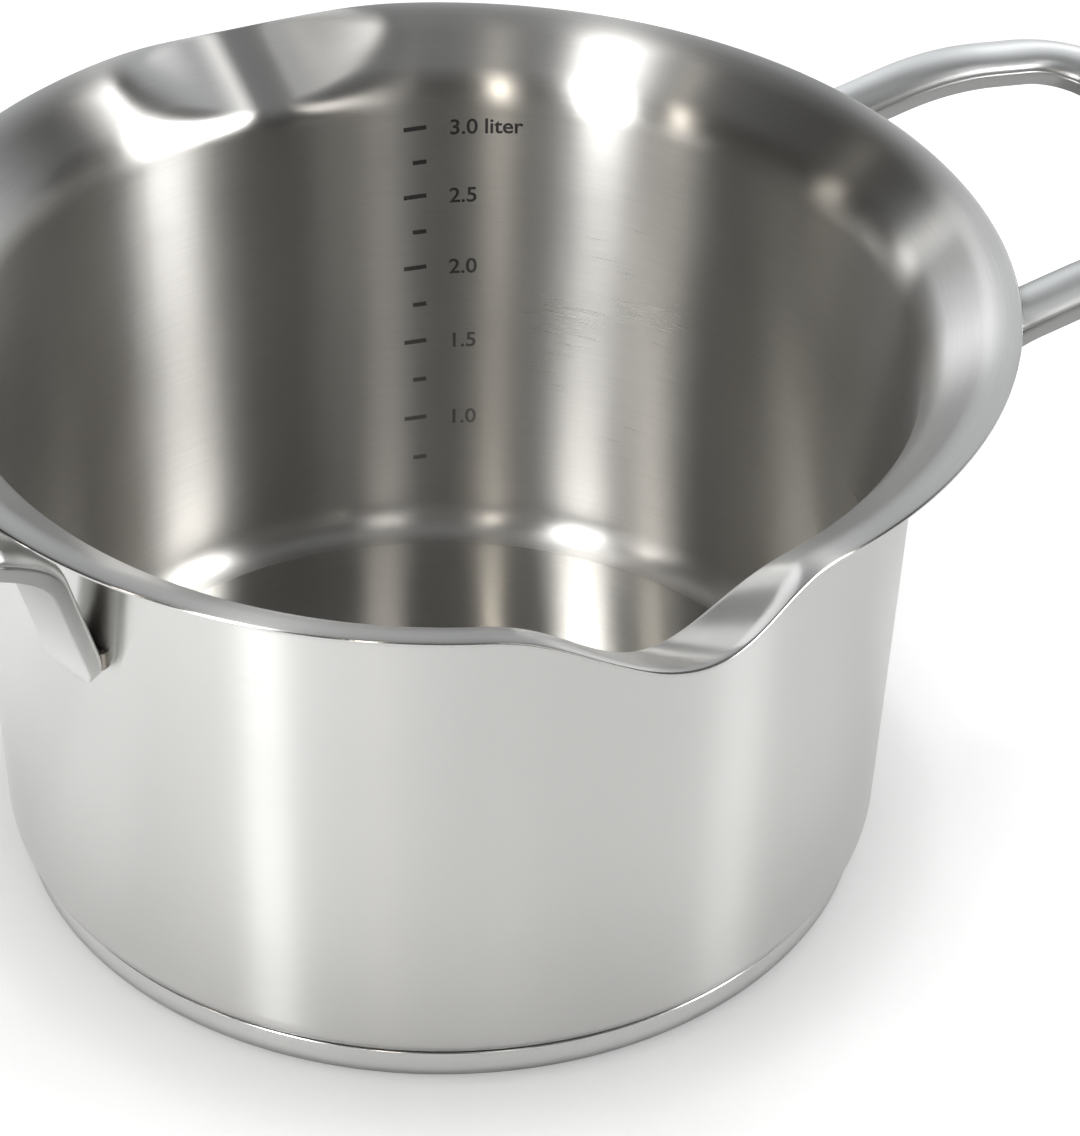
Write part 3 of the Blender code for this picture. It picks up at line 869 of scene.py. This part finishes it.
def weld_bead_tree():
    """Round bead along a seam line, with small ripples."""
    tree, get = new_geometry_tree("Weld Bead", (), ("Radius", "Spacing", "Ripple"))
    seam = node(tree, "GeometryNodeMeshToCurve", (-1100, 200), {"Mesh": get["Geometry"]})
    even = node(tree, "GeometryNodeResampleCurve", (-900, 200), {
        "Curve": seam.outputs["Curve"], "Length": get["Spacing"]}, mode="LENGTH")
    section = node(tree, "GeometryNodeCurvePrimitiveCircle", (-900, -60), {
        "Resolution": BEAD_SIDES, "Radius": get["Radius"]})
    bead = node(tree, "GeometryNodeCurveToMesh", (-660, 200), {
        "Curve": even.outputs["Curve"], "Profile Curve": section.outputs["Curve"], "Fill Caps": True})
    where = node(tree, "GeometryNodeInputPosition", (-860, -240)).outputs[0]
    noise = noise_node(tree, (-660, -120), where, RIPPLE_SCALE)
    centred = math_node(tree, "SUBTRACT", (-500, -60), noise, 0.5)
    amount = math_node(tree, "MULTIPLY", (-380, -160), centred, get["Ripple"])
    normal = node(tree, "GeometryNodeInputNormal", (-660, -420)).outputs[0]
    rippled = node(tree, "GeometryNodeSetPosition", (0, 200), {
        "Geometry": bead.outputs["Mesh"], "Offset": scale_node(tree, (-200, -200), normal, amount)})
    smooth = node(tree, "GeometryNodeSetShadeSmooth", (220, 200), {0: rippled.outputs["Geometry"]})
    end_tree(tree, smooth.outputs[0], get["Material"])
    return tree


# Volume scale lettering

NUMERALS = (1.0, 1.5, 2.0, 2.5, 3.0)
# Height of a numeral as a share of its font's size
NUMERAL_SHARE = 0.7


def scale_curve(sizes):
    """Height at zero, rise per litre and bend of the curve through the marks at 1, 2 and 3 litres."""
    bend = (sizes.mark_3 - 2 * sizes.mark_2 + sizes.mark_1) / 2
    rise = sizes.mark_2 - sizes.mark_1 - 3 * bend
    return sizes.mark_1 - rise - bend, rise, bend


def scale_height(sizes, volume):
    zero, rise, bend = scale_curve(sizes)
    return zero + rise * volume + bend * volume * volume


def lettering(text, left, height, sizes, section, material):
    """Text bent onto the inside wall a distance right of the marks, and the distance of its right end."""
    curve = bpy.data.curves.new("letters", "FONT")
    curve.body = text
    curve.size = sizes.digit_height / NUMERAL_SHARE
    curve.offset = sizes.stroke
    holder = placed("letters", curve)
    mesh = plain_mesh("scale_" + text.replace(".", "_"), holder)
    bpy.data.objects.remove(holder, do_unlink=True)
    right = left + max(vert.co.x for vert in mesh.vertices)
    for vert in mesh.vertices:
        across = left + vert.co.x
        z = height + vert.co.y - sizes.digit_height / 2 + across * math.tan(sizes.text_tilt)
        radius = section.wall_radius(z) - section.sizes.sheet - sizes.lift
        turned = sizes.azimuth - across / radius
        vert.co = Vector((radius * math.cos(turned), radius * math.sin(turned), z))
    mesh.materials.clear()
    mesh.materials.append(material)
    return placed(mesh.name, mesh), right


# Operators

class POT_OT_body(bpy.types.Operator):
    """Build the drawn body with its brushed inside and polished outside"""
    bl_idname = "soup_pot.body"
    bl_label = "Build Body"

    def execute(self, context):
        finish = context.scene.pot_finish
        surface = build_body(context.scene.pot_body, (
            steel("inside_steel", finish.inside, eased_flare=True), steel("outside_steel", finish.outside),
            steel("inside_floor_steel", finish.inside)))
        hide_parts("pot_body")
        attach(surface, BODY)
        return {"FINISHED"}


class POT_OT_base(bpy.types.Operator):
    """Build the base cap and finish the core disc sealed behind it"""
    bl_idname = "soup_pot.base"
    bl_label = "Build Base"

    def execute(self, context):
        finish = context.scene.pot_finish
        surface = build_cap(context.scene.pot_base, steel("cap_steel_turned", finish.cap))
        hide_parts("base_cap")
        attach(surface, BODY)
        core = bpy.data.objects[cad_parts["core_disc"].name]
        core.material_slots[0].material = steel("core_aluminium_rolled", finish.core)
        return {"FINISHED"}


# Half of a weld's line, as a share of the foot's half width and a height over the foot's end
WELD_LINE = ((1.0, 0.006), (1.0, 0.0025), (0.7, 0.0011))
# How far a weld's middle stands off the wall, as a share of its radius
WELD_SEAT = 0.55
WELD_SPACING = 0.0006
WELD_RIPPLE = 0.0003


class POT_OT_handles(bpy.types.Operator):
    """Build both loop handles and the weld beads under their feet"""
    bl_idname = "soup_pot.handles"
    bl_label = "Build Handles"

    def execute(self, context):
        scene = context.scene
        satin = steel("handle_steel_satin", scene.pot_finish.handle, turned=False)
        # Painted shade on the bars' sides and inner face
        paint_side_shade(satin, scene.pot_finish.handle_side_shade)
        shape = HandleShape(scene.pot_handles, scene.pot_body)
        for name, side in (("handle_right", 1.0), ("handle_left", -1.0)):
            bar = build_handle(name + "_bar", side, shape, satin)
            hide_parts(name)
            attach(bar, BODY)
        self.add_welds(scene, shape)
        return {"FINISHED"}

    def add_welds(self, scene, shape):
        """One bead round the low end of each foot, where it meets the wall."""
        sizes = scene.pot_handles
        tree = weld_bead_tree()
        values = {"Radius": sizes.weld_radius, "Spacing": WELD_SPACING, "Ripple": WELD_RIPPLE,
                  "Material": weld_material(scene.pot_finish.weld)}
        half = sizes.width / 2 - sizes.foot_end / 2
        line = [(-half * share, rise) for share, rise in WELD_LINE]
        line += [(half * share, rise) for share, rise in WELD_LINE[::-1]]
        for number, (side_x, side_y) in enumerate(((1, -1), (1, 1), (-1, -1), (-1, 1)), 1):
            points = []
            for across, rise in line:
                z = shape.foot_height + rise
                radius = shape.section.wall_radius(z) + sizes.weld_radius * WELD_SEAT
                turned = sizes.foot_azimuth + across / radius
                points.append((side_x * radius * math.cos(turned), side_y * radius * math.sin(turned), z))
            mesh = bpy.data.meshes.new("seam")
            mesh.from_pydata(points, [(i, i + 1) for i in range(len(points) - 1)], [])
            bead = bake_geometry("weld_" + str(number), mesh, tree, values)
            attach(bead, BODY)


class POT_OT_scale(bpy.types.Operator):
    """Build the marks and numerals of the volume scale on the inside wall"""
    bl_idname = "soup_pot.scale"
    bl_label = "Build Volume Scale"

    def execute(self, context):
        scene = context.scene
        sizes = scene.pot_scale
        section = BodySection(scene.pot_body)
        etched = mark_material(scene.pot_finish.mark, scale_height(sizes, sizes.lowest), sizes.mark_3)
        zero, rise, bend = scale_curve(sizes)
        pieces = [bake_geometry("scale_marks", bpy.data.meshes.new("marks_start"), volume_marks_tree(), {
            "Count": sizes.count, "Lowest Volume": sizes.lowest, "Volume Step": sizes.step,
            "Height at Zero": zero, "Rise per Litre": rise, "Rise Lost": -bend,
            "Long Width": sizes.long_width, "Short Width": sizes.short_width, "Thickness": sizes.thickness,
            "Azimuth": sizes.azimuth, "Tilt": sizes.mark_tilt,
            "Wall Radius at Zero": section.wall_radius(0.0) - scene.pot_body.sheet - sizes.lift,
            "Wall Slope": section.slope, "Wall Tilt": section.tilt,
            "Material": etched})]
        for volume in NUMERALS:
            height = scale_height(sizes, volume)
            letters, right = lettering(f"{volume:.1f}", sizes.digit_gap, height, sizes, section, etched)
            pieces.append(letters)
        word, _ = lettering(sizes.unit, right + sizes.unit_gap, height, sizes, section, etched)
        for piece in (*pieces, word):
            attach(piece, BODY)
        return {"FINISHED"}


# Studio

CAMERA_PLACE = Vector((-0.32608, -0.78722, 0.69436))
CAMERA_AIM = Vector((0.01903, -0.00843, 0.06474))
CAMERA_UP = Vector((0.22322, 0.55111, 0.80402))
CAMERA_LENS = 158.3
FLOOR_SIZE = 8.0
LAMP_DISTANCE = 1.9
WHITE = (1.0, 1.0, 1.0)
WARM = (1.0, 0.93, 0.83)
COOL = (0.96, 0.98, 1.0)
# Name, direction and elevation of one end, of the other end, width, brightness and colour
STRIPS = (
    ("right_low", (-45.5, 10.0), (-31.5, 48.0), 0.38, 17.0, WHITE),
    ("right_high", (-31.5, 48.0), (10.0, 60.5), 0.36, 3.0, WHITE),
    ("left_foot", (-149.5, 1.0), (-150.5, 9.0), 0.31, 37.0, WHITE),
    ("left_low", (-150.5, 9.0), (-155.5, 51.0), 0.31, 13.5, WHITE),
    ("left_high", (-155.5, 51.0), (166.0, 71.5), 0.31, 3.0, WHITE),
    ("left_over", (166.0, 71.5), (98.0, 69.0), 0.20, 1.5, WHITE),
    ("warm_front", (-125.5, 14.0), (-127.0, 45.0), 0.08, 12.5, WARM),
    ("warm_left", (-169.0, 16.0), (-177.0, 45.0), 0.09, 7.0, WARM),
    ("grey_front", (-97.0, 12.0), (-95.0, 55.0), 0.24, 2.4, (1.0, 0.96, 0.92)),
    ("left_back", (152.0, 6.0), (140.0, 30.0), 0.16, 1.6, WARM),
    ("back_panel", (88.0, 12.0), (94.0, 42.0), 0.34, 1.9, COOL),
    ("right_line", (118.0, 8.0), (116.0, 27.0), 0.22, 2.8, WHITE),
    ("spout_panel", (36.0, 20.0), (54.0, 19.0), 0.24, 2.0, WHITE),
)
OVERHEAD_SIZE = 0.50
OVERHEAD_HEIGHT = 1.5
OVERHEAD_BRIGHTNESS = 15.0
# Height of the direction (0 level, 1 straight up) and colour of the studio there
FRONT_WALLS = ((0.0, (0.30, 0.30, 0.30)), (0.12, (0.05, 0.049, 0.046)), (0.75, (0.05, 0.049, 0.046)),
               (1.0, (0.35, 0.36, 0.37)))
BACK_WALLS = ((0.0, (0.50, 0.51, 0.53)), (0.25, (0.86, 0.89, 0.92)), (0.60, (0.78, 0.81, 0.84)),
              (0.78, (0.40, 0.41, 0.42)), (1.0, (0.35, 0.36, 0.37)))
BACK_DIRECTION = 50.0
# How nearly a direction points back, from where the back wall begins to where it is full
BACK_SPAN = (0.42, 0.75)
FILL_LIGHT = 0.30
# The floor's own light: for the camera away from the base and, lower, in a painted shadow at the base's
# edge; for reflections to the front and, higher, as painted light toward the side
FLOOR_GLOW_SEEN = 0.56
FLOOR_GLOW_IN_PAINTED_SHADOW = 0.33
FLOOR_GLOW = 0.385
FLOOR_GLOW_PAINTED_SIDE_LIGHT = 0.98
PAINTED_SIDE_LIGHT_DIRECTION = 178.0
# Spans of distance from the axis and toward the side over which the floor's own light changes: a painted
# shadow ring round the base for the camera, a painted shadow under the base's edge and painted light toward
# the side in reflections. Then the share of the reflected glow left under the base's edge, and the glow
# added far out for the camera
PAINTED_REFLECTED_SHADOW_SPAN = (CAP_HIGH.x - 0.001, CAP_HIGH.x + 0.005)
PAINTED_SHADOW_SPAN = (CAP_HIGH.x, CAP_HIGH.x + 0.021)
FAR_SPAN = (0.4, 1.4)
PAINTED_SIDE_LIGHT_SPAN = (0.05, 0.30)
FLOOR_GLOW_IN_PAINTED_REFLECTED_SHADOW = 0.05
FLOOR_GLOW_FAR = 0.24


def heading(direction, elevation):
    """Unit vector toward a direction round the pot and an elevation, both in degrees."""
    turn, rise = math.radians(direction), math.radians(elevation)
    return Vector((math.cos(rise) * math.cos(turn), math.cos(rise) * math.sin(turn), math.sin(rise)))


def toward_node(tree, place, vector, direction):
    """How far a vector reaches in a level direction."""
    inputs = {0: vector, 1: heading(direction, 0.0)}
    return node(tree, "ShaderNodeVectorMath", place, inputs, operation="DOT_PRODUCT").outputs["Value"]


def studio_world(scene):
    """White for the camera, even for soft light, and for reflections a dark front and a pale back."""
    world = bpy.data.worlds.new("studio")
    world.use_nodes = True
    scene.world = world
    tree = world.node_tree
    direction = coordinates_node(tree, (-1300, 0), "Generated")
    height = parts_node(tree, (-1100, 100), direction)["Z"]
    behind = toward_node(tree, (-1100, -160), direction, BACK_DIRECTION)
    walls = mix_node(tree, (-460, 60), range_node(tree, (-860, -160), behind, BACK_SPAN),
                     ramp_node(tree, (-860, 300), FRONT_WALLS, height),
                     ramp_node(tree, (-860, 60), BACK_WALLS, height))
    ray = node(tree, "ShaderNodeLightPath", (-860, 620)).outputs
    lit = mix_node(tree, (-240, 60), ray["Is Glossy Ray"], solid(WHITE, FILL_LIGHT), walls)
    fill(tree, tree.nodes["Background"], {
        "Color": mix_node(tree, (-40, 60), ray["Is Camera Ray"], lit, solid(WHITE)), "Strength": 1.0})


def floor_material(tint):
    """White floor that keeps a soft shadow: part diffuse, part its own light for camera and reflections,
    which adds a painted shadow round the base and painted light toward the side.
    """
    material, tree, shader = shaded("studio_floor")
    work = partial(math_node, tree)
    fill(tree, shader, {"Roughness": 0.9, "Specular IOR Level": 0.0, "Base Color": solid(tint)})
    spot = coordinates_node(tree, (-800, -420))
    away = node(tree, "ShaderNodeVectorMath", (-600, 0), {0: spot}, operation="LENGTH").outputs["Value"]
    ray = node(tree, "ShaderNodeLightPath", (-600, -200)).outputs
    # Painted shadow: the camera sees less of the floor's own light within some 2 cm of the base
    near = range_node(tree, (-400, 0), away, PAINTED_SHADOW_SPAN, (FLOOR_GLOW_IN_PAINTED_SHADOW, FLOOR_GLOW_SEEN))
    far = range_node(tree, (-400, 180), away, FAR_SPAN, (0.0, FLOOR_GLOW_FAR))
    seen = work("MULTIPLY", (-240, 0), ray["Is Camera Ray"], work("ADD", (-240, 180), near, far))
    # Painted light: reflections see more of the floor's own light toward the side
    toward = toward_node(tree, (-600, -420), spot, PAINTED_SIDE_LIGHT_DIRECTION)
    side = range_node(tree, (-400, -420), toward, PAINTED_SIDE_LIGHT_SPAN, (FLOOR_GLOW, FLOOR_GLOW_PAINTED_SIDE_LIGHT))
    # Painted shadow: reflections see almost none of the floor's own light right under the base's edge
    under = range_node(tree, (-400, -640), away, PAINTED_REFLECTED_SHADOW_SPAN, (FLOOR_GLOW_IN_PAINTED_REFLECTED_SHADOW, 1.0))
    bounced = work("MAXIMUM", (-400, -200), ray["Is Glossy Ray"], ray["Is Transmission Ray"])
    mirrored = work("MULTIPLY", (-240, -420), bounced, work("MULTIPLY", (-240, -560), under, side))
    glow = node(tree, "ShaderNodeEmission", (0, -200), {
        "Strength": work("ADD", (-80, -300), seen, mirrored)})
    both = node(tree, "ShaderNodeAddShader", (300, 0), {
        0: shader.outputs["BSDF"], 1: glow.outputs["Emission"]})
    fill(tree, tree.nodes["Material Output"], {"Surface": both.outputs["Shader"]})
    return material


def aim(obj, place, target, upward):
    """Place an object facing a target, with its own Y axis as near as it can be to a given direction."""
    back = (place - target).normalized()
    across = upward.cross(back).normalized()
    turn = Matrix((across, back.cross(across), back)).transposed()
    obj.matrix_world = Matrix.Translation(place) @ turn.to_4x4()


def area_lamp(name, size, brightness, tint):
    """Rectangular lamp hidden from the camera, whose brightness doesn't depend on its size."""
    lamp = bpy.data.lights.new(name, "AREA")
    lamp.shape = "RECTANGLE"
    lamp.size, lamp.size_y = size
    lamp.color = tint
    lamp.energy = brightness * math.pi * size[0] * size[1]
    holder = placed(name, lamp)
    holder.visible_camera = False
    return holder


class POT_OT_stage(bpy.types.Operator):
    """Build the floor, world, lamps and camera"""
    bl_idname = "soup_pot.stage"
    bl_label = "Build Studio"

    def execute(self, context):
        scene = context.scene
        bm = bmesh.new()
        bmesh.ops.create_grid(bm, x_segments=8, y_segments=8, size=FLOOR_SIZE / 2)
        floor = finish_mesh("studio_floor", bm, [floor_material(scene.pot_finish.floor)])
        studio_world(scene)
        middle = Vector((0.0, 0.0, BODY_HIGH.z / 2))
        for name, start, end, width, brightness, tint in STRIPS:
            start, end = (middle + LAMP_DISTANCE * heading(*way) for way in (start, end))
            holder = area_lamp(name, (width, (end - start).length), brightness, tint)
            aim(holder, (start + end) / 2, middle, end - start)
            holder.visible_diffuse = False
        overhead = area_lamp("overhead", (OVERHEAD_SIZE, OVERHEAD_SIZE), OVERHEAD_BRIGHTNESS, WHITE)
        aim(overhead, Vector((0.0, 0.0, OVERHEAD_HEIGHT)), middle, Vector((0.0, 1.0, 0.0)))
        overhead.visible_glossy = False
        camera = bpy.data.cameras.new("camera")
        camera.lens = CAMERA_LENS
        camera.sensor_width = 36.0
        camera.clip_start = 0.01
        scene.camera = placed("camera", camera)
        aim(scene.camera, CAMERA_PLACE, CAMERA_AIM, CAMERA_UP)
        scene.view_settings.view_transform = "Standard"
        return {"FINISHED"}


class POT_PT_dressing(bpy.types.Panel):
    """Lists the soup pot's operators"""
    bl_idname = "POT_PT_dressing"
    bl_label = "Soup Pot"
    bl_space_type = "VIEW_3D"
    bl_region_type = "UI"
    bl_category = "Soup Pot"

    def draw(self, context):
        for operator in OPERATORS:
            self.layout.operator(operator.bl_idname)


OPERATORS = (POT_OT_body, POT_OT_base, POT_OT_handles, POT_OT_scale, POT_OT_stage)
SETTINGS = {"pot_body": PotBodySizes, "pot_base": PotBaseSizes, "pot_handles": PotHandleSizes,
            "pot_scale": PotScaleSizes, "pot_finish": PotFinish}
CLASSES = (*SETTINGS.values(), *OPERATORS, POT_PT_dressing)


def register():
    for item in CLASSES:
        bpy.utils.register_class(item)
    for name, group in SETTINGS.items():
        setattr(bpy.types.Scene, name, PointerProperty(type=group))


def unregister():
    for name in SETTINGS:
        delattr(bpy.types.Scene, name)
    for item in reversed(CLASSES):
        bpy.utils.unregister_class(item)


def plain(box):
    return [[float(value) for value in corner] for corner in box]


def main():
    register()
    bpy.ops.soup_pot.body()
    bpy.ops.soup_pot.base()
    bpy.ops.soup_pot.handles()
    bpy.ops.soup_pot.scale()
    bpy.ops.soup_pot.stage()


if __name__ == "__main__":
    main()
